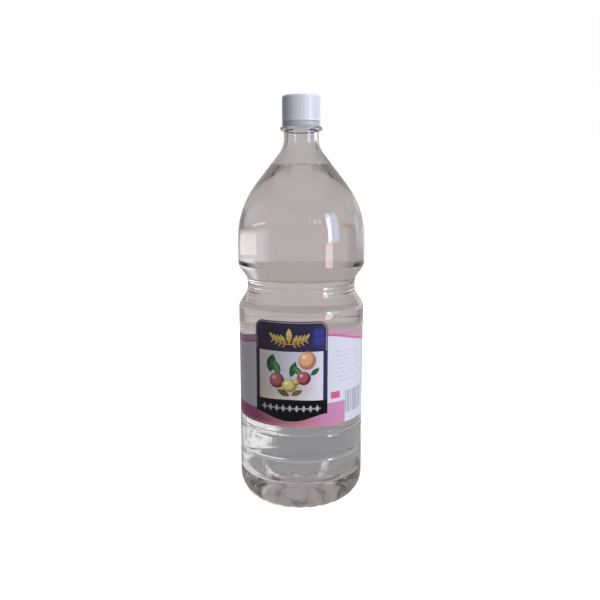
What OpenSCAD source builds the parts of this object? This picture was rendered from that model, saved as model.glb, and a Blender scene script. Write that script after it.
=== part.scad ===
// Two-litre clear bottle of white vinegar: blown shell, drink, screw cap, tamper band and wrap label.
// The origin is the middle of the ring it stands on. +Z is up and the label faces -Y.

/* [Body] */
// Outer diameter of the body
body_d = 103; // [84:1:125]
// Wall of the blown body
body_wall = 0.4; // [0.3:0.1:1.2]
// Wall of the base and heel, which stay thicker than the body
base_wall = 1.2; // [0.9:0.1:2.5]
// Radius of the heel that runs from the foot up into the body
heel_r = 19.5; // [12:0.5:24]
// Width of the flat ring that the bottle stands on
foot_w = 2; // [1:0.5:4]
// Height of the dome pushed up into the base
push_h = 13; // [6:0.5:18]
// Radius of the flat top of that dome
push_top_r = 9; // [6:0.5:12]
// Number of radial flutes pressed into the heel
flute_count = 24; // [8:1:36]
// Depth of each flute
flute_depth = 0.5; // [0.2:0.1:0.7]

/* [Rings and label panel] */
// Height of the lowest ring groove
ring_z = 26.7; // [26:0.1:32]
// Distance from each ring groove to the next one up
ring_pitch = 19.8; // [14:0.1:24]
// Number of ring grooves below the label
ring_count = 3; // [1:1:3]
// Width of a ring groove
ring_w = 3.5; // [2.5:0.1:5]
// Depth of a ring groove
ring_d = 0.6; // [0.2:0.1:1]
// Height of the label panel
panel_h = 77.2; // [50:0.2:95]
// How far the label panel is set back
panel_inset = 0.4; // [0.2:0.1:1]

/* [Waist] */
// Clear collar between the label panel and the waist
collar_h = 17.7; // [16:0.1:24]
// How far the waist is set in from the body
waist_depth = 6.9; // [4:0.1:9]
// Height of the waist between its two slopes
waist_h = 11.3; // [10:0.1:20]
// Height of the slope below the waist
slope_low_h = 10.6; // [8:0.1:16]
// Height of the slope above the waist
slope_high_h = 10; // [8:0.1:16]
// Number of grip grooves round the waist
grip_count = 2; // [1:1:2]

/* [Shoulder and neck] */
// Straight band between the waist and the dome of the shoulder
shoulder_band_h = 21; // [12:0.5:40]
// Slope of the shoulder's cone, measured from upright
cone_angle = 38; // [32:1:45]
// Radius that blends the band into the cone
dome_r = 72; // [30:1:80]
// Radius that blends the cone into the neck
neck_blend_r = 18.5; // [8:0.5:24]
// Bore through the neck
bore_d = 21.8; // [18:0.1:27]
// Wall of the neck below the carrying ring
neck_wall = 3; // [1.5:0.1:4]
// Straight neck between the shoulder blend and the carrying ring
neck_h = 5.5; // [3:0.1:12]
// Thickness of the carrying ring at its rim
carry_h = 2.2; // [1.2:0.1:3]
// How far the carrying ring stands out past the cap
carry_over = 1.5; // [0.8:0.1:3]
// Wall of the mouth that the cap screws on
mouth_wall = 1.55; // [1.1:0.05:2]
// Height of the mouth above the carrying ring
mouth_h = 22.6; // [16:0.1:28]

/* [Cap and tamper band] */
// Play between the mouth and the cap
cap_play = 0.35; // [0.2:0.05:0.6]
// Wall of the cap
cap_wall = 2.4; // [1.6:0.1:3]
// Thickness of the cap's top
cap_top = 1.4; // [1:0.1:2.5]
// Round edge at the top of the cap
cap_edge_r = 1.4; // [0.6:0.1:1.5]
// Number of grip grooves round the cap
knurl_count = 90; // [30:1:100]
// Depth of a grip groove
knurl_depth = 0.3; // [0.1:0.05:0.35]
// Height of the tamper band
tamper_h = 4; // [2.5:0.1:6]
// Slit between the tamper band and the cap
tamper_slit = 0.4; // [0.3:0.1:0.8]
// Number of thin bridges across the slit
bridge_count = 12; // [4:1:16]

/* [Label] */
// Thickness of the label
label_t = 0.15; // [0.1:0.05:0.3]
// Clear strip of the panel below the label
label_rise = 4.8; // [1:0.1:6]
// Clear strip of the panel above the label at its back
label_drop = 4.9; // [2:0.1:10]
// How much higher the arched top edge stands at the front
arch_h = 11.5; // [0:0.1:14]
// Half the angle that the arch takes up
arch_half = 86; // [40:1:88]
// Turn of the arch from the middle of the plaque
arch_turn = 18; // [-20:1:20]
// How far the front plaque stands above the label panel
plaque_over = 11.6; // [6:0.1:12.5]
// Width of the front plaque, measured round the bottle
plaque_w = 60; // [40:1:80]
// Radius of the plaque's top corners
plaque_corner_r = 7; // [2:0.5:12]

/* [Drink] */
// Drop from the carrying ring to the surface of the vinegar
ullage = 27.6; // [10:0.1:60]

/* [Hidden] */
$fn = 96;
arc_step = 7;
eps = 0.01;

body_r = body_d / 2;
panel_r = body_r - panel_inset;
waist_r = body_r - waist_depth;
foot_in_r = body_r - heel_r - foot_w;

// The bore sets every radius round the neck: its wall, the mouth, the cap and the carrying ring
bore_r = bore_d / 2;
neck_r = bore_r + neck_wall;
mouth_r = bore_r + mouth_wall;
cap_in_r = mouth_r + cap_play;
cap_r = cap_in_r + cap_wall;
carry_r = cap_r + carry_over;

// Heights of the body's zones, each from the one below it
panel_z = ring_z + (ring_count - 1) * ring_pitch + ring_w / 2 + 1;
collar_z = panel_z + panel_h;
slope_low_z = collar_z + collar_h;
waist_z = slope_low_z + slope_low_h;
slope_high_z = waist_z + waist_h;
band_z = slope_high_z + slope_high_h;
dome_z = band_z + shoulder_band_h;

// The dome's arc is tangent to the band and to the cone, and the neck's to the cone and the neck
cone_z = dome_z + dome_r * tan(cone_angle / 2);
throat_z = cone_z + (body_r - neck_r) / tan(cone_angle);
neck_z = throat_z + neck_blend_r * tan(cone_angle / 2);
carry_z = neck_z + neck_h;
carry_slope = 1.2;
carry_top = carry_z + carry_slope + carry_h;
rim_z = carry_top + mouth_h;
rim_chamfer = 0.7;

slope_fillet = 7;
ring_fillet = 1.4;
edge_fillet = 0.4;

tamper_top = carry_top + tamper_h;
cap_z = tamper_top + tamper_slit;
bridge_w = 0.9;
tamper_chamfer = 0.5;

label_z = panel_z + label_rise;
label_back_z = collar_z - label_drop;
label_top = collar_z + plaque_over;
plaque_half = plaque_w / 2 / body_r * 180 / PI;

fill_z = carry_z - ullage;

function unit(v) = v / norm(v);
function turn(v, a) = [v.x * cos(a) - v.y * sin(a), v.x * sin(a) + v.y * cos(a)];
function left(v) = [-v.y, v.x];
function side(a, b, c) = sign(cross(b - a, c - b));
function spot(corner) = [corner[0], corner[1]];

// Points of the arc of radius f that rounds the corner b between a and c
function rounded(a, b, c, f) =
    let (
        back = unit(a - b),
        ahead = unit(c - b),
        half = acos(max(-1, min(1, back * ahead))) / 2,
        sweep = 180 - 2 * half
    )
    f <= 0 || sweep < 0.5 ? [b] :
    let (
        centre = b + unit(back + ahead) * f / sin(half),
        start = b + back * f / tan(half) - centre,
        steps = max(2, ceil(sweep / arc_step))
    )
    [for (i = [0:steps]) centre + turn(start, side(a, b, c) * sweep * i / steps)];

// A list of [radius, height, fillet, wall] corners as the points of a smooth outline
function outline(corners) = [
    for (i = [0:len(corners) - 1])
        each i == 0 || i == len(corners) - 1 ? [spot(corners[i])] :
            rounded(spot(corners[i - 1]), spot(corners[i]), spot(corners[i + 1]), corners[i][2])
];

// The same corners moved inwards by their own wall, with the fillets kept parallel
function inner(corners) = [
    for (i = [1:len(corners) - 2])
        let (
            a = spot(corners[i - 1]),
            b = spot(corners[i]),
            c = spot(corners[i + 1]),
            wall = corners[i][3],
            n1 = left(unit(b - a)),
            n2 = left(unit(c - b)),
            moved = b + (n1 + n2) * wall / (1 + n1 * n2),
            fillet = max(0.1, corners[i][2] - side(a, b, c) * wall)
        )
        [moved.x, moved.y, fillet]
];

// Three corners that press a shallow round groove into an upright wall
function groove(r, z) = [
    [r, z - ring_w / 2, ring_fillet, body_wall],
    [r - ring_d, z, ring_fillet, body_wall],
    [r, z + ring_w / 2, ring_fillet, body_wall]
];

base_corners = [
    [0, push_h, 0, base_wall],
    [push_top_r, push_h, 8, base_wall],
    [foot_in_r, 0, 2.5, base_wall],
    [body_r, 0, heel_r, base_wall]
];

ring_corners = [for (i = [0:ring_count - 1]) each groove(body_r, ring_z + i * ring_pitch)];

panel_corners = [
    [body_r, panel_z, edge_fillet, body_wall],
    [panel_r, panel_z + panel_inset, edge_fillet, body_wall],
    [panel_r, collar_z - panel_inset, edge_fillet, body_wall],
    [body_r, collar_z, edge_fillet, body_wall]
];

grip_pitch = waist_h / (grip_count + 1);
waist_corners = concat(
    [[body_r, slope_low_z, slope_fillet, body_wall], [waist_r, waist_z, 2, body_wall]],
    [for (i = [1:grip_count]) each groove(waist_r, waist_z + i * grip_pitch)],
    [[waist_r, slope_high_z, 2, body_wall], [body_r, band_z, slope_fillet, body_wall]]
);

shoulder_corners = [[body_r, cone_z, dome_r, body_wall], [neck_r, throat_z, neck_blend_r, neck_wall]];

body_corners = concat(base_corners, ring_corners, panel_corners, waist_corners, shoulder_corners);

neck_corners = [
    [neck_r, carry_z, edge_fillet],
    [carry_r, carry_z + carry_slope, edge_fillet],
    [carry_r, carry_top, edge_fillet],
    [mouth_r, carry_top, 0],
    [mouth_r, rim_z - rim_chamfer, 0],
    [mouth_r - rim_chamfer, rim_z, 0]
];

outer_points = outline(concat(body_corners, neck_corners));
inner_points = outline(concat(
    [[0, push_h + base_wall, 0]],
    inner(concat(body_corners, [[neck_r, carry_z, 0, neck_wall]])),
    [[bore_r, rim_z, 0]]
));

function reversed(points) = [for (i = [len(points) - 1:-1:0]) points[i]];

// Everything inside the bottle's wall, from the base up to the rim
module inside() {
    rotate_extrude() polygon(concat(inner_points, [[0, rim_z]]));
}

// Shallow flutes that run out from the foot and up the heel
module flutes() {
    flute_r = 2.2;
    for (i = [0:flute_count - 1])
        rotate([0, 0, 360 * i / flute_count])
            translate([body_r - heel_r, 0, heel_r])
                rotate([90, 0, 0])
                    intersection() {
                        rotate_extrude()
                            translate([heel_r + flute_r - flute_depth, 0]) circle(r = flute_r, $fn = 24);
                        translate([0, -heel_r * 2, -flute_r])
                            cube([heel_r * 2, heel_r * 1.9, flute_r * 2]);
                    }
}

module bottle() {
    color([0.86, 0.88, 0.9, 0.35])
        difference() {
            rotate_extrude() polygon(concat(outer_points, reversed(inner_points)));
            flutes();
        }
}

module vinegar() {
    color([0.9, 0.87, 0.85, 0.5])
        intersection() {
            inside();
            cylinder(r = body_r, h = fill_z);
        }
}

module cap() {
    top = rim_z + cap_top;
    knurl_low = 1;
    knurl_h = top - cap_edge_r - 0.3 - cap_z - knurl_low;
    color([0.93, 0.94, 0.96])
        difference() {
            rotate_extrude()
                polygon(outline([
                    [0, cap_z, 0],
                    [cap_r, cap_z, 0.3],
                    [cap_r, top, cap_edge_r],
                    [0, top, 0]
                ]));
            translate([0, 0, cap_z - eps]) cylinder(r = cap_in_r, h = rim_z - cap_z + eps);
            for (i = [0:knurl_count - 1])
                rotate([0, 0, 360 * i / knurl_count])
                    translate([cap_r + knurl_depth / 2, 0, cap_z + knurl_low])
                        cylinder(r = knurl_depth * 1.5, h = knurl_h, $fn = 16);
        }
}

module tamper_band() {
    color([0.9, 0.91, 0.94]) {
        rotate_extrude()
            polygon([
                [cap_in_r, carry_top],
                [cap_r - tamper_chamfer, carry_top],
                [cap_r, carry_top + tamper_chamfer],
                [cap_r, tamper_top],
                [cap_in_r, tamper_top]
            ]);
        for (i = [0:bridge_count - 1])
            rotate([0, 0, 360 * i / bridge_count])
                translate([cap_in_r + 0.5, -bridge_w / 2, tamper_top - eps])
                    cube([cap_r - cap_in_r - 1, bridge_w, tamper_slit + eps]);
    }
}

// Height of the label's top edge at an angle from the middle of the plaque
function edge_z(a) =
    let (away = min(abs(a - arch_turn), arch_half))
    label_back_z + arch_h * (1 + cos(180 * away / arch_half)) / 2;

// The label seen from the front, wide enough to take in the whole arch
module label_front() {
    reach = 2 * body_r;
    polygon(concat(
        [[-reach, label_z - 1], [-reach, edge_z(-90)]],
        [for (a = [-90:5:90]) [body_r * sin(a), edge_z(a)]],
        [[reach, edge_z(90)], [reach, label_z - 1]]
    ));
    plaque_x = body_r * sin(plaque_half);
    polygon(outline([
        [-plaque_x, label_z, 0],
        [-plaque_x, label_top, plaque_corner_r],
        [plaque_x, label_top, plaque_corner_r],
        [plaque_x, label_z, 0]
    ]));
}

module label() {
    lip = panel_inset;
    color([0.93, 0.9, 0.93])
        intersection() {
            rotate_extrude()
                polygon([
                    [panel_r, label_z],
                    [panel_r + label_t, label_z],
                    [panel_r + label_t, collar_z - lip],
                    [body_r + label_t, collar_z],
                    [body_r + label_t, label_top],
                    [body_r, label_top],
                    [body_r, collar_z],
                    [panel_r, collar_z - lip]
                ]);
            union() {
                rotate([90, 0, 0]) linear_extrude(height = body_r * 2) label_front();
                translate([-body_r * 2, 0, label_z])
                    cube([body_r * 4, body_r * 2, label_back_z - label_z]);
            }
        }
}

bottle();
vinegar();
cap();
tamper_band();
label();
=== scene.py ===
import math

import bmesh
import bpy
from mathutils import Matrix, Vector


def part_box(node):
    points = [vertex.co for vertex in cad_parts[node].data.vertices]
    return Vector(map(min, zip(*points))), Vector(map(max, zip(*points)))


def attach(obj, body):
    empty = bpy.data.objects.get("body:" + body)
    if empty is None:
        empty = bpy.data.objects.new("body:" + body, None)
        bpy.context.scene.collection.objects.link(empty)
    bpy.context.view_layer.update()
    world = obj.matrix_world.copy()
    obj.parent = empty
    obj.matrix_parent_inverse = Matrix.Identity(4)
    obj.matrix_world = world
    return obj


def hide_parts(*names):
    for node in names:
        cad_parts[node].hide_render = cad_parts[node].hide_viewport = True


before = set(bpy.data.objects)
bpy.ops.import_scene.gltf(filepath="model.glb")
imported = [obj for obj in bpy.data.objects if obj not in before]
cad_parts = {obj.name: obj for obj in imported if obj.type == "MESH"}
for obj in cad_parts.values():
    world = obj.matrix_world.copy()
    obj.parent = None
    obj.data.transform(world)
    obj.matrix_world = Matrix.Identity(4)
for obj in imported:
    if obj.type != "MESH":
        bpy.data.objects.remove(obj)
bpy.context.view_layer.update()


# ---------------------------------------------------------------------------------------------
# The clear bottle: one stretch-blown shell of PET, thin on the body and thick at the neck, which
# keeps the moulded size of its preform. Its outline is drawn as a chain of corners with their
# fillets, outside and inside, and spun round. The heel's flutes and the mould's parting lines
# are pressed in afterwards. The shell stands on the ring round its push-up.
mm = 0.001


def tint(red, green, blue):
    """A colour from its display values, 0 to 255."""
    parts = [value / 255 for value in (red, green, blue)]
    linear = [p / 12.92 if p <= 0.04045 else ((p + 0.055) / 1.055) ** 2.4 for p in parts]
    return (*linear, 1.0)


class Field:
    """A number, vector or colour that varies over a surface. Arithmetic on it adds Math nodes."""

    def __init__(self, tree, socket=None):
        self.tree = tree
        self.socket = socket

    def node(self, kind, sockets=None, out=0, **settings):
        """Adds any node: its settings first, then the values or links of its sockets."""
        made = self.tree.nodes.new("ShaderNode" + kind)
        for name, value in settings.items():
            setattr(made, name, value)
        for name, value in (sockets or {}).items():
            if isinstance(value, Field):
                self.tree.links.new(value.socket, made.inputs[name])
            else:
                made.inputs[name].default_value = value
        return Field(self.tree, made.outputs[out])

    def maths(self, operation, *others):
        """A Math node with this value first and the others after it."""
        return self.node("Math", dict(enumerate((self, *others))), operation=operation)

    def __add__(self, other):
        return self.maths("ADD", other)

    def __sub__(self, other):
        return self.maths("SUBTRACT", other)

    def __rsub__(self, other):
        return self.node("Math", {0: other, 1: self}, operation="SUBTRACT")

    def __mul__(self, other):
        return self.maths("MULTIPLY", other)

    def __truediv__(self, other):
        return self.maths("DIVIDE", other)

    def __abs__(self):
        return self.maths("ABSOLUTE")

    __radd__ = __add__
    __rmul__ = __mul__

    def least(self, other):
        return self.maths("MINIMUM", other)

    def most(self, other):
        return self.maths("MAXIMUM", other)

    def rise(self, low, high):
        """0 below low, 1 above high, and a soft step between them."""
        sockets = {"Value": self, "From Min": low, "From Max": high}
        return self.node("MapRange", sockets, interpolation_type="SMOOTHSTEP")

    def within(self, low, high, soft):
        """1 between low and high, with a soft step at each end."""
        return self.rise(low - soft, low + soft) * (1 - self.rise(high - soft, high + soft))

    def over(self, under, colour):
        """The colour laid over another one where this mask is 1."""
        return self.node("Mix", {0: self, 6: under, 7: colour}, out=2, data_type="RGBA")

    def axes(self):
        """The x, y and z of a vector."""
        split = self.node("SeparateXYZ", {0: self})
        outputs = split.socket.node.outputs
        return [Field(self.tree, output) for output in outputs]

    def stretched(self, x, y, z):
        """A vector with each axis multiplied by its own number."""
        return self.node("VectorMath", {0: self, 1: (x, y, z)}, operation="MULTIPLY")

    def dot(self, axis):
        """This vector's length along an axis."""
        return self.node("VectorMath", {0: self, 1: axis}, out=1, operation="DOT_PRODUCT")

    def length(self):
        return self.node("VectorMath", {0: self}, out=1, operation="LENGTH")

    def noise(self, scale, detail=2.0, roughness=0.5):
        sockets = {"Vector": self, "Scale": scale, "Detail": detail, "Roughness": roughness}
        return self.node("TexNoise", sockets)


def start_material(name):
    """A new material as its Principled shader, its output and its place on the object."""
    made = bpy.data.materials.new(name)
    made.use_nodes = True
    tree = made.node_tree
    shader = tree.nodes["Principled BSDF"]
    place = Field(tree).node("TexCoord", out=3)
    return made, shader, place


def set_finish(shader, place, bump=None, bump_height=1.0, **sockets):
    """Sets or links the shader's sockets, and gives it a bump in metres."""
    for name, value in sockets.items():
        socket = shader.inputs[name.replace("_", " ").title().replace("Ior", "IOR")]
        if isinstance(value, Field):
            place.tree.links.new(value.socket, socket)
        else:
            socket.default_value = value
    if bump is not None:
        relief = place.node("Bump", {"Height": bump, "Distance": bump_height, "Strength": 1.0})
        place.tree.links.new(relief.socket, shader.inputs["Normal"])


def turned(vector, angle):
    """A flat vector turned by an angle."""
    return Vector((
        vector.x * math.cos(angle) - vector.y * math.sin(angle),
        vector.x * math.sin(angle) + vector.y * math.cos(angle),
    ))


def left_of(vector):
    return Vector((-vector.y, vector.x))


def side_of(a, b, c):
    """1 where the path a, b, c turns left at b, and -1 where it turns right."""
    ahead, beyond = b - a, c - b
    return math.copysign(1, ahead.x * beyond.y - ahead.y * beyond.x)


def rounded(a, b, c, fillet, arc_step=math.radians(7)):
    """Points of the arc that rounds the corner b between a and c."""
    back, ahead = (a - b).normalized(), (c - b).normalized()
    half = math.acos(max(-1, min(1, back.dot(ahead)))) / 2
    sweep = math.pi - 2 * half
    if fillet <= 0 or sweep < math.radians(0.5):
        return [b]
    centre = b + (back + ahead).normalized() * fillet / math.sin(half)
    start = b + back * fillet / math.tan(half) - centre
    steps = max(2, math.ceil(sweep / arc_step))
    turn = side_of(a, b, c) * sweep / steps
    return [centre + turned(start, turn * index) for index in range(steps + 1)]


def outline(corners):
    """A list of (radius, height, fillet, wall) corners as the points of a smooth outline."""
    spots = [Vector(corner[:2]) for corner in corners]
    points = [spots[0]]
    for index in range(1, len(spots) - 1):
        points += rounded(*spots[index - 1:index + 2], corners[index][2])
    return points + [spots[-1]]


def inner(corners, bite=0.0):
    """The same corners moved in by their own wall less a bite, with the fillets kept parallel."""
    moved = []
    for before, corner, after in zip(corners, corners[1:], corners[2:]):
        a, b, c = Vector(before[:2]), Vector(corner[:2]), Vector(after[:2])
        wall = corner[3] - bite
        first, second = left_of((b - a).normalized()), left_of((c - b).normalized())
        spot = b + (first + second) * wall / (1 + first.dot(second))
        moved.append((spot.x, spot.y, max(0.1, corner[2] - side_of(a, b, c) * wall)))
    return moved


def box_mm(node):
    """The lowest and highest corners of a CAD node's box."""
    low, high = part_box(node)
    return Vector(low) / mm, Vector(high) / mm


bottle_high = box_mm("bottle")[1]
cap_low, cap_high = box_mm("cap")
band_low, band_high = box_mm("tamper_band")

body_r = bottle_high.x
body_wall, base_wall = 0.4, 1.2
heel_r, foot_w = 19.5, 2.0
push_h, push_top_r = 13.0, 9.0
ring_z, ring_pitch, ring_count, ring_w, ring_d = 26.7, 19.8, 3, 3.5, 0.6
panel_h, panel_inset = 77.2, 0.4
collar_h, waist_depth, waist_h, slope_low_h, slope_high_h = 17.7, 6.9, 11.3, 10.6, 10.0
grip_count, shoulder_band_h = 2, 21.0
cone_angle, dome_r, neck_blend_r = math.radians(38), 72.0, 18.5
bore_r, neck_wall, mouth_wall, neck_h = 10.9, 3.0, 1.55, 5.5
carry_slope, carry_over, rim_chamfer = 1.2, 1.5, 0.7
slope_fillet, ring_fillet, edge_fillet = 7.0, 1.4, 0.4

panel_r = body_r - panel_inset
waist_r = body_r - waist_depth
neck_r = bore_r + neck_wall
mouth_r = bore_r + mouth_wall
carry_r = cap_high.x + carry_over
panel_z = ring_z + (ring_count - 1) * ring_pitch + ring_w / 2 + 1
collar_z = panel_z + panel_h
slope_low_z = collar_z + collar_h
waist_z = slope_low_z + slope_low_h
slope_high_z = waist_z + waist_h
shoulder_z = slope_high_z + slope_high_h
cone_z = shoulder_z + shoulder_band_h + dome_r * math.tan(cone_angle / 2)
throat_z = cone_z + (body_r - neck_r) / math.tan(cone_angle)
carry_z = throat_z + neck_blend_r * math.tan(cone_angle / 2) + neck_h
carry_top = band_low.z
rim_z = bottle_high.z


def groove(radius, height):
    """Three corners that press a shallow round groove into an upright wall."""
    return [
        (radius, height - ring_w / 2, ring_fillet, body_wall),
        (radius - ring_d, height, ring_fillet, body_wall),
        (radius, height + ring_w / 2, ring_fillet, body_wall),
    ]


base_corners = [
    (0, push_h, 0, base_wall),
    (push_top_r, push_h, 8, base_wall),
    (body_r - heel_r - foot_w, 0, 2.5, base_wall),
    (body_r, 0, heel_r, base_wall),
]
ring_corners = [
    corner for index in range(ring_count) for corner in groove(body_r, ring_z + index * ring_pitch)
]
panel_corners = [
    (body_r, panel_z, edge_fillet, body_wall),
    (panel_r, panel_z + panel_inset, edge_fillet, body_wall),
    (panel_r, collar_z - panel_inset, edge_fillet, body_wall),
    (body_r, collar_z, edge_fillet, body_wall),
]
grip_pitch = waist_h / (grip_count + 1)
grip_corners = [
    corner
    for index in range(grip_count)
    for corner in groove(waist_r, waist_z + (index + 1) * grip_pitch)
]
waist_corners = [
    (body_r, slope_low_z, slope_fillet, body_wall),
    (waist_r, waist_z, 2, body_wall),
    *grip_corners,
    (waist_r, slope_high_z, 2, body_wall),
    (body_r, shoulder_z, slope_fillet, body_wall),
]
shoulder_corners = [
    (body_r, cone_z, dome_r, body_wall),
    (neck_r, throat_z, neck_blend_r, neck_wall),
]
body_corners = base_corners + ring_corners + panel_corners + waist_corners + shoulder_corners
neck_corners = [
    (neck_r, carry_z, edge_fillet),
    (carry_r, carry_z + carry_slope, edge_fillet),
    (carry_r, carry_top, edge_fillet),
    (mouth_r, carry_top, 0),
    (mouth_r, rim_z - rim_chamfer, 0),
    (mouth_r - rim_chamfer, rim_z, 0),
]
wall_end = [(neck_r, carry_z, 0, neck_wall)]
bottle_outside = outline(body_corners + neck_corners)
bottle_inside = outline(
    [(0, push_h + base_wall, 0), *inner(body_corners + wall_end), (bore_r, rim_z, 0)]
)


def draw_chain(name, points):
    """Draws edges through (radius, height) points by extruding one vertex on and on."""
    bpy.ops.mesh.primitive_plane_add(size=mm)
    bpy.context.object.name = name
    bpy.ops.object.mode_set(mode="EDIT")
    bpy.ops.mesh.select_mode(type="VERT")
    bpy.ops.mesh.select_all(action="SELECT")
    bpy.ops.mesh.merge(type="CENTER")
    here = points[0]
    bpy.ops.transform.translate(value=(here.x * mm, 0, here.y * mm))
    for point in points[1:]:
        step = (point - here) * mm
        bpy.ops.mesh.extrude_region_move(TRANSFORM_OT_translate={"value": (step.x, 0, step.y)})
        here = point
    return bpy.context.object


def spin_round(steps):
    """Spins the chain once round the axis, then closes its seam and its poles."""
    bpy.ops.mesh.select_all(action="SELECT")
    bpy.ops.mesh.spin(steps=steps, angle=2 * math.pi, center=(0, 0, 0), axis=(0, 0, 1))
    bpy.ops.mesh.select_all(action="SELECT")
    bpy.ops.mesh.remove_doubles(threshold=0.001 * mm)
    bpy.ops.mesh.normals_make_consistent(inside=False)
    bpy.ops.mesh.select_all(action="DESELECT")


def pick(piece, wanted):
    """Selects only the vertices at the places that are wanted, and counts them."""
    mesh = bmesh.from_edit_mesh(piece.data)
    for vertex in mesh.verts:
        vertex.select_set(wanted(vertex.co / mm))
    mesh.select_flush_mode()
    bmesh.update_edit_mesh(piece.data)
    return sum(vertex.select for vertex in mesh.verts)


def finish_piece(piece, material, node, smooth_angle=30):
    """Leaves edit mode, smooths the piece, and puts it on the body in its CAD node's place."""
    bpy.ops.object.mode_set(mode="OBJECT")
    bpy.ops.object.shade_smooth_by_angle(angle=math.radians(smooth_angle))
    piece.data.materials.clear()
    piece.data.materials.append(material)
    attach(piece, "root")
    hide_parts(node)
    bpy.ops.object.select_all(action="DESELECT")


bpy.ops.object.select_all(action="DESELECT")
turns = 192
bottle = draw_chain("clear_bottle", bottle_outside + bottle_inside[::-1])
spin_round(turns)

# The heel's flutes: each meridian's distance from the nearest flute sets how deep it goes
flute_count, flute_depth, flute_flank = 24, 0.5, 0.55
flute_end, flute_start = 12, 84  # degrees round the heel, up from level
flute_pitch = 2 * math.pi / flute_count
heel_centre = Vector((body_r - heel_r, heel_r))


def steps_from_flute(place):
    angle = math.atan2(place.y, place.x) / flute_pitch
    return round(abs(angle - round(angle)) * turns / flute_count)


def on_heel(place):
    out = Vector((math.hypot(place.x, place.y), place.z)) - heel_centre
    along = math.degrees(math.atan2(-out.y, out.x))
    return flute_end < along < flute_start and out.length > heel_r - base_wall / 2


for step, share in enumerate([1.0, flute_flank]):
    pick(bottle, lambda place: on_heel(place) and steps_from_flute(place) == step)
    bpy.ops.transform.shrink_fatten(value=-flute_depth * share * mm)

# Two faint parting lines of the blow mould run down the shoulder and the waist
parting_d = 0.05
pick(bottle, lambda place: abs(place.y) < 0.05 and place.z > waist_z and abs(place.x) > neck_r
     and abs(place.x) > body_r - (place.z - slope_low_z) * 0.9)
bpy.ops.transform.shrink_fatten(value=-parting_d * mm)

pet, pet_shader, pet_place = start_material("clear_PET")
sags = pet_place.stretched(1, 1, 0.35).noise(26, detail=1.0)
drawn = pet_place.stretched(1, 1, 0.06).noise(240, detail=2.0)
heel_low = 1 - pet_place.axes()[2].rise(0.025, 0.075)
set_finish(
    pet_shader, pet_place,
    base_color=tint(248, 250, 252),
    roughness=0.02 + 0.05 * drawn.rise(0.55, 0.8) + 0.08 * heel_low * drawn,
    transmission_weight=1.0,
    ior=1.5,
    bump=0.00034 * sags + (0.00001 + 0.00014 * heel_low) * drawn,
)
finish_piece(bottle, pet, "bottle", smooth_angle=40)


# ---------------------------------------------------------------------------------------------
# The vinegar: two litres of clear, colourless drink that fills the bottle to its shoulder. It is
# drawn just inside the wall, so that it wets the shell with no air between them, and its surface
# climbs the wall a little all round.
wetting = 0.15
climb, climb_reach, climb_steps = 1.3, 3.2, 12
fill_z = box_mm("vinegar")[1].z

wet_wall = outline(
    [(0, push_h + base_wall - wetting, 0), *inner(body_corners + wall_end, wetting),
     (bore_r + wetting, rim_z, 0)]
)


def below(points, height):
    """The part of an outline below a height, cut off level at it."""
    for index, (lower, upper) in enumerate(zip(points, points[1:])):
        if lower.y <= height < upper.y and lower.y > slope_low_z:
            share = (height - lower.y) / (upper.y - lower.y)
            return points[:index + 1] + [lower.lerp(upper, share)]
    return points


wetted = below(wet_wall, fill_z + climb)
surface_r = wetted[-1].x
surface = []
for index in range(1, climb_steps + 1):
    share = index / climb_steps
    surface.append(Vector((surface_r - climb_reach * share, fill_z + climb * (1 - share) ** 3)))
surface += [Vector((surface_r * share, fill_z)) for share in (0.66, 0.4, 0.2, 0)]
vinegar = draw_chain("filled_drink", wetted + surface)
spin_round(144)

drink, drink_shader, drink_place = start_material("white_vinegar")
swirl = drink_place.stretched(1, 1, 0.5).noise(14, detail=1.0)
set_finish(
    drink_shader, drink_place,
    base_color=tint(252, 250, 249),
    roughness=0.004 + 0.004 * swirl,
    transmission_weight=1.0,
    ior=1.34,
    bump=0.00003 * swirl,
)
# The drink's very slight colour, which only shows through its whole depth
depth_tint = drink_place.node("VolumeAbsorption", {"Color": (0.90, 0.86, 0.85, 1), "Density": 9.0})
drink_output = drink_place.tree.nodes["Material Output"]
drink_place.tree.links.new(depth_tint.socket, drink_output.inputs["Volume"])
finish_piece(vinegar, drink, "vinegar", smooth_angle=40)


# ---------------------------------------------------------------------------------------------
# The screw cap: moulded white polyethylene with fine upright grip ribs, a round top edge and a
# dished top with the gate's mark at its middle. It is hollow, and seats on the bottle's rim.
cap_r = cap_high.x
cap_z, cap_top = cap_low.z, cap_high.z
cap_in_r = mouth_r + 0.35
rib_count, rib_groove, rib_side = 90, 0.3, 0.1
rib_sides = 2 * rib_count
skirt_h, skirt_step, edge_r = 1.0, 0.15, 1.4
rib_top = cap_top - edge_r - 0.3


def grow(rise, radius_now, radius_next):
    """Extrudes the picked face up or down, and brings its rim to the next radius."""
    bpy.ops.mesh.extrude_region_move(TRANSFORM_OT_translate={"value": (0, 0, rise * mm)})
    share = radius_next / radius_now
    bpy.ops.transform.resize(value=(share, share, 1), center_override=(0, 0, 0))


def pick_faces(piece, wanted):
    """Selects only the faces whose middle and normal are wanted."""
    bpy.ops.mesh.select_all(action="DESELECT")
    mesh = bmesh.from_edit_mesh(piece.data)
    for face in mesh.faces:
        if wanted(face.calc_center_median() / mm, face.normal):
            face.select_set(True)
    bmesh.update_edit_mesh(piece.data)


bpy.ops.mesh.primitive_cylinder_add(
    vertices=rib_sides, radius=cap_r * mm, depth=(rib_top - cap_z - skirt_h) * mm,
    location=(0, 0, (rib_top + cap_z + skirt_h) / 2 * mm),
)
cap = bpy.context.object
cap.name = "screw_cap"
bpy.ops.object.transform_apply()
bpy.ops.object.mode_set(mode="EDIT")
bpy.ops.mesh.select_mode(type="FACE")

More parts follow.
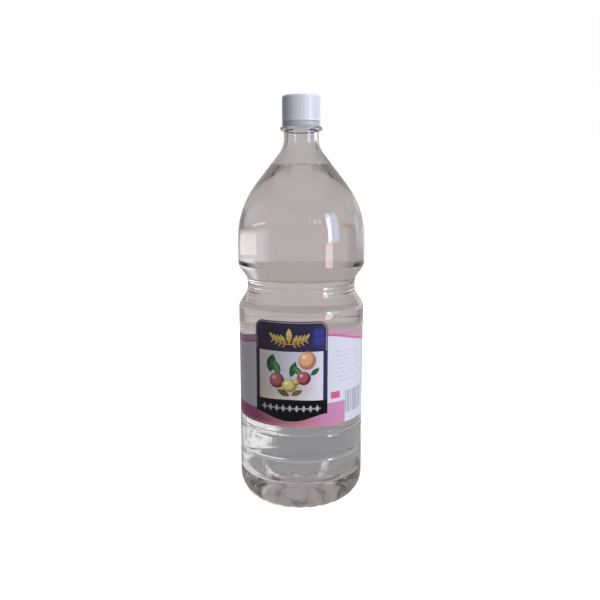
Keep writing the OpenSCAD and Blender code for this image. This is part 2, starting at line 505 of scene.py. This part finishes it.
# Every second side face is sunk, with sloping walls, as a groove between two ribs
pick_faces(cap, lambda middle, normal: abs(normal.z) < 0.5
           and round(math.atan2(normal.y, normal.x) / math.tau * rib_sides - 0.5) % 2 == 0)
bpy.ops.mesh.inset(use_individual=True, thickness=rib_side * mm, depth=-rib_groove * mm)

# The plain skirt below the ribs, then the wall's lower face and the hollow up to the rim
pick_faces(cap, lambda middle, normal: normal.z < -0.99)
grow(-skirt_step, cap_r, cap_r)
grow(-(skirt_h - 2 * skirt_step), cap_r, cap_r)
grow(-skirt_step, cap_r, cap_r - skirt_step)
bpy.ops.mesh.inset(thickness=(cap_r - skirt_step - cap_in_r) * mm)
grow(rim_z - cap_z, cap_in_r, cap_in_r)

# The round top edge, in steps of its quarter circle, then the dished top and the gate's mark
pick_faces(cap, lambda middle, normal: normal.z > 0.99)
grow(cap_top - edge_r - rib_top, cap_r, cap_r)
edge_steps = 7
radius, height = cap_r, 0.0
for index in range(1, edge_steps + 1):
    angle = math.pi / 2 * index / edge_steps
    next_radius = cap_r - edge_r * (1 - math.cos(angle))
    grow(edge_r * math.sin(angle) - height, radius, next_radius)
    radius, height = next_radius, edge_r * math.sin(angle)
top_ring = [(0, 12.6), (-0.12, 12.3), (0, 11.9), (0.06, 11.7)]
gate_mark = [(0, 1.6), (-0.1, 1.5), (0, 0.9), (0.08, 0.6)]
for rise, next_radius in top_ring + gate_mark:
    grow(rise, radius, next_radius)
    radius = next_radius


def polyethylene(name, pale, dark, worn):
    """White moulded plastic with flow marks and wear, and a painted glow on its hidden inside in place
    of the light that comes through it.
    """
    made, shader, place = start_material(name)
    flow = place.stretched(1, 1, 0.3).noise(90, detail=3.0)
    grain = place.noise(2600, detail=2.0)
    wear = place.noise(420, detail=4.0, roughness=0.65).rise(0.6, 0.75)
    # Painted glow: the hidden inside and the band's lower face emit a pale tone that stands in for
    # light through the plastic
    from_axis = place.stretched(1, 1, 0).length() / mm
    height = place.axes()[2] / mm
    inside = 1 - from_axis.rise(cap_in_r + 0.1, cap_in_r + 0.2)
    inside = inside * (1 - height.rise(rim_z + 0.1, rim_z + 0.3))
    inside = inside.most(1 - height.rise(carry_top + 0.05, carry_top + 0.1))
    set_finish(
        shader, place,
        base_color=(0.5 * wear).over(flow.over(dark, pale), worn),
        roughness=0.22 + 0.1 * flow + 0.1 * wear,
        specular_ior_level=0.5,
        coat_weight=0.3,
        coat_roughness=0.12,
        subsurface_weight=0.15,
        subsurface_scale=0.002,
        emission_color=inside.over(tint(0, 0, 0), tint(206, 200, 202)),
        emission_strength=0.52,
        bump=0.00002 * grain + 0.00003 * flow,
    )
    return made


cap_plastic = polyethylene(
    "cap_polyethylene", pale=tint(226, 231, 240), dark=tint(216, 222, 233), worn=tint(204, 209, 218)
)
finish_piece(cap, cap_plastic, "cap", smooth_angle=35)


# ---------------------------------------------------------------------------------------------
# The tamper band: the ring that a first opening tears off the cap. It is the cap's own plastic,
# snapped under the neck's bead, and thin bridges hold it to the cap across a narrow slit.
band_r, slit_h = band_high.x, 0.4
band_top = cap_z - slit_h
bridge_count, bridge_w = 12, 0.9
band_points = [
    (cap_in_r, carry_top), (band_r - 0.5, carry_top), (band_r - 0.12, carry_top + 0.38),
    (band_r, carry_top + 0.7), (band_r, band_top - 1.3), (band_r - 0.12, band_top - 1.2),
    (band_r - 0.12, band_top - 0.9), (band_r, band_top - 0.8), (band_r, band_top - 0.1),
    (band_r - 0.1, band_top), (cap_in_r + 0.1, band_top), (cap_in_r, band_top - 0.1),
    (cap_in_r, carry_top),
]
band = draw_chain("seal_band", [Vector(point) for point in band_points])
spin_round(192)

bpy.ops.mesh.primitive_cube_add(
    size=1, location=((band_r + cap_in_r) / 2 * mm, 0, (band_top + slit_h / 2) * mm),
    scale=((band_r - cap_in_r - 1) * mm, bridge_w * mm, (slit_h + 0.02) * mm),
)
bpy.ops.mesh.spin(
    steps=bridge_count - 1, dupli=True, angle=math.tau * (bridge_count - 1) / bridge_count,
    center=(0, 0, 0), axis=(0, 0, 1),
)
# Painted shade: the band gets darker tones than the cap's same plastic, for the shade under the cap
shaded_band_plastic = polyethylene(
    "band_polyethylene_painted_shade", pale=tint(186, 188, 197), dark=tint(176, 178, 188), worn=tint(168, 170, 180)
)
finish_piece(band, shaded_band_plastic, "tamper_band", smooth_angle=30)


# ---------------------------------------------------------------------------------------------
# The wrap label: thin white film, printed in fields of colour and glued round the set-back panel,
# with its end lapped over its start at the back. The top edge rises in an arch to the front,
# and the front plaque stands above it on the collar. It is cut flat here, then laid round.
label_low, label_high = box_mm("label")
label_z = label_low.z
label_t = 0.15
label_back = collar_z - 4.9
label_top = label_high.z
arch_h, arch_half, arch_turn = 11.5, 86, 18
plaque_w, plaque_corner = 60, 7
lap = 9.0
degree_w = math.radians(body_r)


def arch_z(angle):
    away = min(abs(angle - arch_turn), arch_half)
    return label_back + arch_h * (1 + math.cos(math.pi * away / arch_half)) / 2


def plaque_z(angle):
    """The plaque's top edge at an angle, with its round corners, or nothing beside it."""
    across = abs(angle) * degree_w
    past = across - (plaque_w / 2 - plaque_corner)
    if past > plaque_corner:
        return 0
    drop = plaque_corner - math.sqrt(plaque_corner ** 2 - max(0, past) ** 2)
    return label_top - drop


def film_radius(height):
    """The panel's radius, out over its lip to the collar's."""
    share = (height - collar_z + panel_inset) / panel_inset
    return panel_r + panel_inset * max(0, min(1, share))


plaque_side = plaque_w / 2 / degree_w
corner_start = (plaque_w / 2 - plaque_corner) / degree_w
column_turn = 2.5
all_round = [-180 + column_turn * index for index in range(round(360 / column_turn) + 1)]
columns = sorted(
    [angle for angle in all_round if abs(angle) > plaque_side + 0.8]
    + [side * (plaque_side + 0.02) for side in (-1, 1)]
    + [side * (corner_start + (plaque_side - corner_start) * math.sin(math.pi / 2 * index / 12))
       for side in (-1, 1) for index in range(13)]
    + [corner_start * (index / 10 - 1) for index in range(1, 20)]
)
columns += [180 + lap / degree_w * index / 4 for index in range(1, 5)]
rows = sorted(
    [label_z + (collar_z - panel_inset - label_z) * index / 40 for index in range(41)]
    + [collar_z + (label_top - collar_z) * index / 16 for index in range(17)]
    + [collar_z - panel_inset / 2]
)

bpy.ops.mesh.primitive_grid_add(x_subdivisions=len(columns) - 1, y_subdivisions=len(rows) - 1, size=1)
label = bpy.context.object
label.name = "wrap_label"
for vertex in label.data.vertices:
    angle = columns[round((vertex.co.x + 0.5) * (len(columns) - 1))]
    row = rows[round((vertex.co.y + 0.5) * (len(rows) - 1))]
    height = min(row, max(arch_z(angle if angle <= 180 else angle - 360), plaque_z(angle)))
    lapped = max(0, min(1, (angle - 180) * degree_w / 2 + 0.5))
    radius = film_radius(height) + lapped * (label_t + 0.02)
    turn = math.radians(angle)
    vertex.co = Vector((radius * math.sin(turn), -radius * math.cos(turn), height)) * mm
bpy.ops.object.mode_set(mode="EDIT")
bpy.ops.mesh.select_all(action="SELECT")
bpy.ops.mesh.remove_doubles(threshold=0.002 * mm)
bpy.ops.mesh.dissolve_degenerate(threshold=0.001 * mm)
bpy.ops.mesh.select_all(action="SELECT")
bpy.ops.mesh.normals_make_consistent(inside=False)
bpy.ops.object.mode_set(mode="OBJECT")
outward = sum(p.normal.x * p.center.x + p.normal.y * p.center.y for p in label.data.polygons)
if outward < 0:
    label.data.flip_normals()
bpy.ops.object.modifier_add(type="SOLIDIFY")
label.modifiers[0].thickness = label_t * mm
label.modifiers[0].offset = 1
bpy.ops.object.modifier_apply(modifier=label.modifiers[0].name)
bpy.ops.object.mode_set(mode="EDIT")

print_film, film_shader, film_place = start_material("printed_film")
place_x, place_y, place_z = film_place.axes()
# Millimetres round the bottle from the plaque's middle, and millimetres up from the lower edge
around = place_x.maths("ARCTAN2", place_y * -1.0) * body_r
up = place_z / mm - label_z
soft = 0.12  # half the width of a printed edge's blur


def ellipse(u, v, half_u, half_v, blur):
    """A mask that is 1 inside an ellipse at a place on the label."""
    first, second = (around - u) / half_u, (up - v) / half_v
    return 1 - (first * first + second * second).rise(1 - blur, 1 + blur)


def leaf(along, across, length, width, turn):
    """A pointed leaf from a place, as a mask; along and across are measured from its middle."""
    cos, sin = math.cos(math.radians(turn)), math.sin(math.radians(turn))
    first = (along * cos + across * sin) / (length / 2)
    second = abs(across * cos - along * sin)
    return 1 - (second - (1 - first * first) * width / 2).rise(-soft, soft)


def panel(low_u, high_u, low_v, high_v, blur=soft):
    """A mask that is 1 inside a rectangle."""
    return around.within(low_u, high_u, blur) * up.within(low_v, high_v, blur)


def stripes(value, pitch, width):
    """A mask of lines a pitch apart."""
    wrapped = value.maths("PINGPONG", pitch / 2)
    return 1 - wrapped.rise(width / 2 - soft, width / 2 + soft)


# The film itself: bluish white, with the arched strip and the lower band in pinks. The band's
# upper edge climbs to the right, and the band stops at the seam and at the front's right side
away = abs(around / degree_w - arch_turn).least(arch_half) * (math.pi / arch_half)
arch_line = (away.maths("COSINE") + 1) * (arch_h / 2) + (label_back - label_z)
film_white = tint(206, 209, 222)
colour = around.within(-92, -25, 34).over(film_white, tint(212, 206, 208))
from_edge = arch_line - up
colour = (1 - from_edge.rise(5.2, 5.5)).over(colour, tint(186, 146, 170))
colour = from_edge.within(4.3, 6.1, 0.3).over(colour, tint(194, 110, 148))
band_line = 12 + 6.5 * around.rise(-34, 34)
in_band = (1 - (up - band_line).rise(-soft, soft)) * around.within(-146, 47, 0.2)
# The band's pinks change hue round the label as printed; the darker magenta on the left front is also
# painted shade
band_pink_and_shade = around.rise(-40, 0).over(tint(170, 78, 128), tint(182, 126, 132))
band_pink_and_shade = (1 - around.rise(-105, -72)).over(band_pink_and_shade, tint(196, 136, 176))
band_pink_and_shade = around.rise(4, 34).over(band_pink_and_shade, tint(192, 134, 176))
colour = in_band.over(colour, band_pink_and_shade)
colour = (in_band * (1 - up.rise(1.6, 3.0))).over(colour, tint(202, 136, 156))

# The side panels' plain rules, bars and block, where a maker's small print would be
grain_u = film_place.noise(300, detail=0.0)
side_rules = stripes(up - 1.0, 3.4, 0.5) * abs(around).within(37, 66, soft) * up.within(33, 61, soft)
side_rules = side_rules * grain_u.rise(0.42, 0.5)
back_rules = stripes(up - 1.0, 2.6, 0.45) * abs(around).within(86, 136, soft) * up.within(24, 60, soft)
colour = (0.5 * side_rules).over(colour, tint(120, 124, 150))
colour = (0.45 * back_rules).over(colour, tint(110, 112, 140))
colour = panel(33, 41.5, 21.5, 27, 0.2).over(colour, tint(206, 96, 128))
bar_row = {"W": around, "Scale": 1.35, "Detail": 1.0}
bars = film_place.node("TexNoise", bar_row, noise_dimensions="1D")
colour = (panel(47.5, 72, 7.5, 26) * bars.rise(0.5, 0.54)).over(colour, tint(112, 114, 128))

# The plaque: a dark frame and top field, an ivory picture, and a dark ribbon below
half_w = plaque_w / 2
plaque_top = label_top - label_z
past_u = (abs(around) - (half_w - plaque_corner)).most(0)
past_v = (up - (plaque_top - plaque_corner)).most(0)
from_corner = (past_u * past_u + past_v * past_v).maths("SQRT")
in_frame = 1 - from_corner.rise(plaque_corner - soft, plaque_corner + soft)
ribbon_low = 4.9 + 5.6 * (abs(around).rise(2, 30))
in_frame = in_frame * (up - ribbon_low).rise(-soft, soft)
navy = around.rise(-30, 26).over(tint(52, 42, 58), tint(46, 42, 74))
colour = in_frame.over(colour, navy)
frame_line = from_corner.within(plaque_corner - 1.5, plaque_corner - 0.7, soft) * up.rise(60, 62)
colour = (0.85 * frame_line).over(colour, tint(166, 158, 158))

# Painted sheen: a soft blue reflection on the right of the dark top field, and a fainter violet
# highlight on its left
blue_sheen = around.within(18.5, 27, 2.0) * up.within(65, 78, 2.5)
colour = blue_sheen.over(colour, tint(54, 60, 136))
violet_sheen = around.within(-27, -20, 3) * up.within(70, 80, 3)
colour = (0.4 * violet_sheen).over(colour, tint(64, 42, 108))
ribbon = in_frame * (1 - up.rise(21.2, 21.8))
colour = ribbon.over(colour, tint(5, 3, 8))

picture_low = 21.6 + 0.8 * (1 - abs(around).rise(0, 26))
picture = around.within(-26.3, 26.3, soft) * (up - picture_low).rise(-soft, soft)
picture = picture * (1 - (up - 60.4).rise(-soft, soft))
paper = around.rise(2, 24).over(tint(214, 206, 201), tint(214, 213, 229))
ivory = ellipse(2, 50, 20, 20, blur=0.7).over(paper, tint(197, 197, 212))
colour = picture.over(colour, ivory)


# The painted garland of fruit and leaves on the picture: shaded rounds with a lit side each
def fruit(under, u, v, half_u, half_v, skin, shade, shine):
    whole = ellipse(u, v, half_u, half_v, blur=0.1)
    lit = ellipse(u - half_u * 0.2, v + half_v * 0.2, half_u * 0.8, half_v * 0.8, blur=0.5)
    spark = ellipse(u - half_u * 0.35, v + half_v * 0.4, half_u * 0.26, half_v * 0.22, blur=0.6)
    skin_colour = lit.over(shade, skin)
    return whole.over(under, spark.over(skin_colour, shine))


def foliage(under, u, v, length, width, turn, dark, light):
    along, across = around - u, up - v
    whole = leaf(along, across, length, width, turn)
    vein = leaf(along, across, length, width * 0.16, turn)
    return whole.over(under, vein.over(dark, light))


green, deep_green, pale_green = tint(62, 112, 74), tint(36, 74, 50), tint(122, 160, 110)
cast = ellipse(0, 30.5, 19, 5.5, blur=0.9)
colour = (0.35 * cast).over(colour, tint(176, 168, 160))
colour = foliage(colour, -15.2, 50.5, 15, 8.2, 78, deep_green, green)
colour = foliage(colour, -10.8, 47.5, 13, 6.4, 112, green, pale_green)
colour = foliage(colour, 2.6, 46.5, 13, 5.4, 72, deep_green, green)
colour = foliage(colour, 6.4, 45.2, 11, 4.6, 128, green, pale_green)
colour = foliage(colour, 19.6, 44.6, 9, 3.8, 40, deep_green, green)
colour = foliage(colour, -5.2, 27.6, 11, 4.4, -24, tint(70, 72, 40), tint(132, 128, 70))
colour = foliage(colour, 5.4, 28.0, 10, 4.0, 24, tint(88, 84, 46), tint(140, 132, 74))
colour = fruit(colour, 13.6, 53.6, 6.9, 7.2,
               skin=tint(216, 164, 130), shade=tint(172, 116, 86), shine=tint(236, 208, 184))
colour = fruit(colour, -10.6, 37.2, 6.3, 6.0,
               skin=tint(172, 100, 100), shade=tint(112, 52, 60), shine=tint(220, 174, 168))
colour = fruit(colour, 10.9, 39.6, 5.5, 5.4,
               skin=tint(166, 86, 98), shade=tint(106, 44, 60), shine=tint(216, 168, 170))
colour = fruit(colour, -0.4, 33.6, 6.0, 5.2,
               skin=tint(214, 196, 132), shade=tint(150, 132, 66), shine=tint(246, 238, 198))
colour = fruit(colour, 4.9, 36.4, 2.6, 2.6,
               skin=tint(186, 176, 96), shade=tint(120, 112, 54), shine=tint(236, 230, 180))


# A gold sprig on the dark top field and a row of white lozenges on the ribbon
mirror_u = abs(around + 0.5)
stem_low, stem_bow, stem_reach = 66.2, 0.02, 13.4
gold_mask = 1 - abs(up - stem_low - stem_bow * mirror_u * mirror_u).rise(0.4, 0.6)
gold_mask = gold_mask * (1 - mirror_u.rise(stem_reach, stem_reach + 0.4))
for index in range(4):
    reach_u = 2.6 + 3.3 * index
    stem_v = stem_low + stem_bow * reach_u ** 2
    for length, turn in ((8.4 - 0.7 * index, 60), (4.4 - 0.3 * index, -42)):
        middle_u = reach_u + length / 2 * math.cos(math.radians(turn))
        middle_v = stem_v + length / 2 * math.sin(math.radians(turn))
        gold_leaf = leaf(mirror_u - middle_u, up - middle_v, length, length * 0.33, turn)
        gold_mask = gold_mask.most(gold_leaf)
gold_mask = gold_mask.most(leaf(mirror_u, up - 72.6, 12.0, 4.6, 90))
gold = up.rise(63, 78).over(tint(168, 138, 66), tint(226, 210, 128))
colour = gold_mask.over(colour, gold)

half_pitch = 2.7
lozenge_u = around.maths("PINGPONG", half_pitch)
ribbon_v = abs(up - 15.2)
lozenges = 1 - (lozenge_u / 1.9 + ribbon_v / 3.0).rise(0.9, 1.04)
dot_u = half_pitch - lozenge_u
dots = 1 - (dot_u * dot_u + ribbon_v * ribbon_v).rise(0.4, 0.6)
marks = lozenges.most(dots) * (1 - abs(around).rise(24.2, 24.4))
colour = marks.over(colour, tint(172, 172, 182))

# The inner side shows the film's unprinted white through the bottle
facing = film_place.node("NewGeometry", out=3)
outwards = film_place.node("VectorMath", {0: film_place.stretched(1, 1, 0)}, operation="NORMALIZE")
shown = facing.dot(outwards)
printed = shown.rise(-0.6, -0.2)
colour = printed.over(tint(212, 206, 208), colour)
# A painted glow on the inner side, standing in for the daylight that the thin film lets through from
# behind, with a hint of the print's colours
print_share = 0.3
lit_film = {0: print_share, 6: tint(206, 196, 190), 7: colour}
painted_backlight = film_place.node("Mix", lit_film, out=2, data_type="RGBA")
glow = printed.over(painted_backlight, tint(0, 0, 0))

ripple = film_place.stretched(1, 1, 0.5).noise(60, detail=2.0)
fibre = film_place.noise(1400, detail=2.0)
set_finish(
    film_shader, film_place,
    base_color=colour,
    metallic=0.55 * gold_mask * shown.rise(-0.2, 0.2),
    roughness=0.30 + 0.12 * ripple - 0.08 * in_frame,
    specular_ior_level=0.22,
    emission_color=glow,
    emission_strength=0.62,
    bump=0.00010 * ripple + 0.000006 * fibre + 0.00001 * (gold_mask + marks),
)
finish_piece(label, print_film, "label", smooth_angle=30)


# ---------------------------------------------------------------------------------------------
# The studio: a plain pale floor, a tall window at the right, soft lights, and a quiet room that
# shows only in what the clear wall and the drink reflect and refract.
bpy.ops.mesh.primitive_plane_add(size=12)
floor = bpy.context.object
floor.name = "floor"
floor_paint, floor_shader, floor_place = start_material("floor_paint")
set_finish(
    floor_shader, floor_place,
    base_color=tint(235, 235, 235),
    roughness=0.9,
    emission_color=tint(255, 255, 255),
    emission_strength=0.85,
)
floor.data.materials.append(floor_paint)
floor.visible_transmission = False
floor.visible_glossy = False
floor.visible_diffuse = False

room_tone = tint(207, 197, 195)
camera_turn = math.radians(10)
ahead_axis = (-math.sin(camera_turn), math.cos(camera_turn), 0)
right_axis = (math.cos(camera_turn), math.sin(camera_turn), 0)


def bearing_of(direction):
    """Degrees to the right of straight behind the bottle, as the camera sees it."""
    return direction.dot(right_axis).maths("ARCTAN2", direction.dot(ahead_axis)) * (180 / math.pi)


# What the drink and the clear wall show of the table: pale close by, then the bottle's own soft
# shade with sun beside it on the right, and the room's tone beyond. Distances are in metres
bpy.ops.mesh.primitive_circle_add(vertices=96, radius=0.7, fill_type="NGON")
table = bpy.context.object
table.name = "table_tone"
table_paint, table_shader, table_place = start_material("table_tone")
flat = table_place.stretched(1, 1, 0)
distance = flat.length()
table_colour = distance.rise(0.2, 0.42).over(tint(174, 172, 168), room_tone)
mottle = table_place.noise(24, detail=3.0, roughness=0.6).rise(0.35, 0.65)
table_colour = (0.3 * mottle * (1 - distance.rise(0.2, 0.4))).over(table_colour, tint(120, 122, 126))
close_by = 1 - distance.rise(0.07, 0.092)
table_colour = (0.7 * close_by).over(table_colour, tint(196, 197, 190))
table_turn = bearing_of(flat)
shaded = table_turn.within(-9, 2.6, 2) * distance.within(0.088, 0.16, 0.006)
table_colour = (0.85 * shaded).over(table_colour, tint(152, 154, 161))
sunlit = table_turn.within(3.6, 45, 1.2) * distance.within(0.088, 0.30, 0.008)
sunlit = sunlit * table_place.noise(110, detail=2.0).rise(0.34, 0.48)
table_colour = sunlit.over(table_colour, (1.2, 1.2, 1.18, 1.0))
set_finish(
    table_shader, table_place,
    base_color=tint(0, 0, 0),
    specular_ior_level=0.0,
    emission_color=table_colour,
    emission_strength=1.0,
)
table.data.materials.append(table_paint)
table.visible_camera = False
table.visible_diffuse = False
table.visible_shadow = False

camera_back, camera_up, camera_left = 0.5325, 0.255, 0.001
bpy.ops.object.camera_add(
    location=(
        camera_back * math.sin(camera_turn) - camera_left * math.cos(camera_turn),
        -camera_back * math.cos(camera_turn) - camera_left * math.sin(camera_turn),
        camera_up,
    ),
    rotation=(math.radians(80.5), 0, camera_turn),
)
camera = bpy.context.object
camera.data.lens = 39
camera.data.sensor_width = 36
bpy.context.scene.camera = camera


def add_window(name, turn, rise, distance, width, height, power, colour):
    """An area light at a turn from the camera's side and a rise above the bottle's middle."""
    middle = Vector((0, 0, 0.18))
    turn, rise = camera_turn + math.radians(turn), math.radians(rise)
    away = Vector((math.sin(turn) * math.cos(rise), -math.cos(turn) * math.cos(rise), math.sin(rise)))
    bpy.ops.object.light_add(type="AREA", location=middle + away * distance)
    light = bpy.context.object
    light.name = name
    light.rotation_euler = away.to_track_quat("Z", "Y").to_euler()
    light.data.shape = "RECTANGLE"
    light.data.size = width
    light.data.size_y = height
    light.data.energy = power
    light.data.color = colour[:3]
    return light


add_window("window", 52, 16, 1.4, 0.19, 0.72, 3.0, tint(240, 246, 255))
add_window("window_side", 64, 16, 1.4, 0.36, 0.72, 2.6, tint(160, 192, 242))
add_window("window_sill", 50, -5, 1.4, 0.34, 0.24, 0.82, tint(255, 230, 226))
# Soft lights that shape the cap and the label, and don't show in the wall or the drink
soft_lights = [("soft_key", 45, 24, 22.0), ("soft_fill", -70, 2, 2.6), ("soft_back", 185, 20, 9.0)]
for name, turn, rise, power in soft_lights:
    soft_light = add_window(name, turn, rise, 1.6, 0.9, 0.9, power, tint(255, 252, 248))
    soft_light.visible_glossy = False
    soft_light.visible_transmission = False

room = bpy.data.worlds.new("room")
bpy.context.scene.world = room
room.use_nodes = True
air = Field(room.node_tree)
background = room.node_tree.nodes["Background"]
looking = air.node("TexCoord", out=0)
bearing = bearing_of(looking)
pitch = looking.axes()[2].maths("ARCSINE") * (180 / math.pi)

# The walls: darker to the sides and darkest in the corners, by degrees of bearing and pitch
wall = pitch.rise(-3, 3).over(room_tone, tint(194, 184, 180))
wall = pitch.rise(8, 20).over(wall, tint(182, 176, 174))
sides = abs(bearing).rise(21, 28)
wall = (0.35 * sides).over(wall, tint(128, 130, 128))
corners = abs(bearing).rise(31, 50) * (1 - abs(bearing).rise(70, 100))
wall = (0.85 * corners).over(wall, tint(116, 116, 114))
# Lit surfaces low on the right, with daylight above them, and softer ones lower on both sides
glow_side = bearing.rise(11, 20) * (1 - bearing.rise(50, 65))
wall = (glow_side * pitch.within(-8.7, 3, 0.5)).over(wall, tint(200, 197, 194))
wall = (glow_side * pitch.within(-7.0, 2.5, 1.0)).over(wall, tint(232, 230, 228))
wall = (bearing.within(17, 28, 1) * pitch.within(-9.4, -8.8, 0.1)).over(wall, tint(255, 255, 255))
daylit = bearing.within(25, 62, 4) * pitch.within(-4, 12, 3)
wall = daylit.over(wall, (1.1, 1.1, 1.09, 1.0))
low_light = bearing.within(24, 44, 5) + 0.5 * bearing.within(-44, -24, 5)
wall = (0.55 * low_light * pitch.within(-19, -9.5, 1.5)).over(wall, tint(240, 238, 236))
# A brown thing and a few small bright ones on the left
brown = bearing.within(-30, -20, 2.5) * pitch.within(-9.6, -8.2, 0.4)
wall = (0.6 * brown).over(wall, tint(190, 150, 120))
for tick_turn, tick_w in ((-3.2, 0.25), (-5.4, 0.5), (-7.4, 0.35)):
    tick = bearing.within(tick_turn - tick_w, tick_turn + tick_w, 0.2) * pitch.within(-9.3, -8.3, 0.2)
    wall = (0.7 * tick).over(wall, tint(255, 250, 240))

# Matt pieces are lit by an even grey, and straight ahead the backdrop is plain white
straight_rays = air.node("LightPath", out=0)
matt_rays = air.node("LightPath", out=2)
seen = matt_rays.over(wall, tint(114, 116, 122))
seen = straight_rays.over(seen, tint(255, 255, 255))
room.node_tree.links.new(seen.socket, background.inputs["Color"])

bpy.context.scene.view_settings.view_transform = "Standard"
bpy.context.scene.cycles.max_bounces = 48
bpy.context.scene.cycles.transmission_bounces = 48
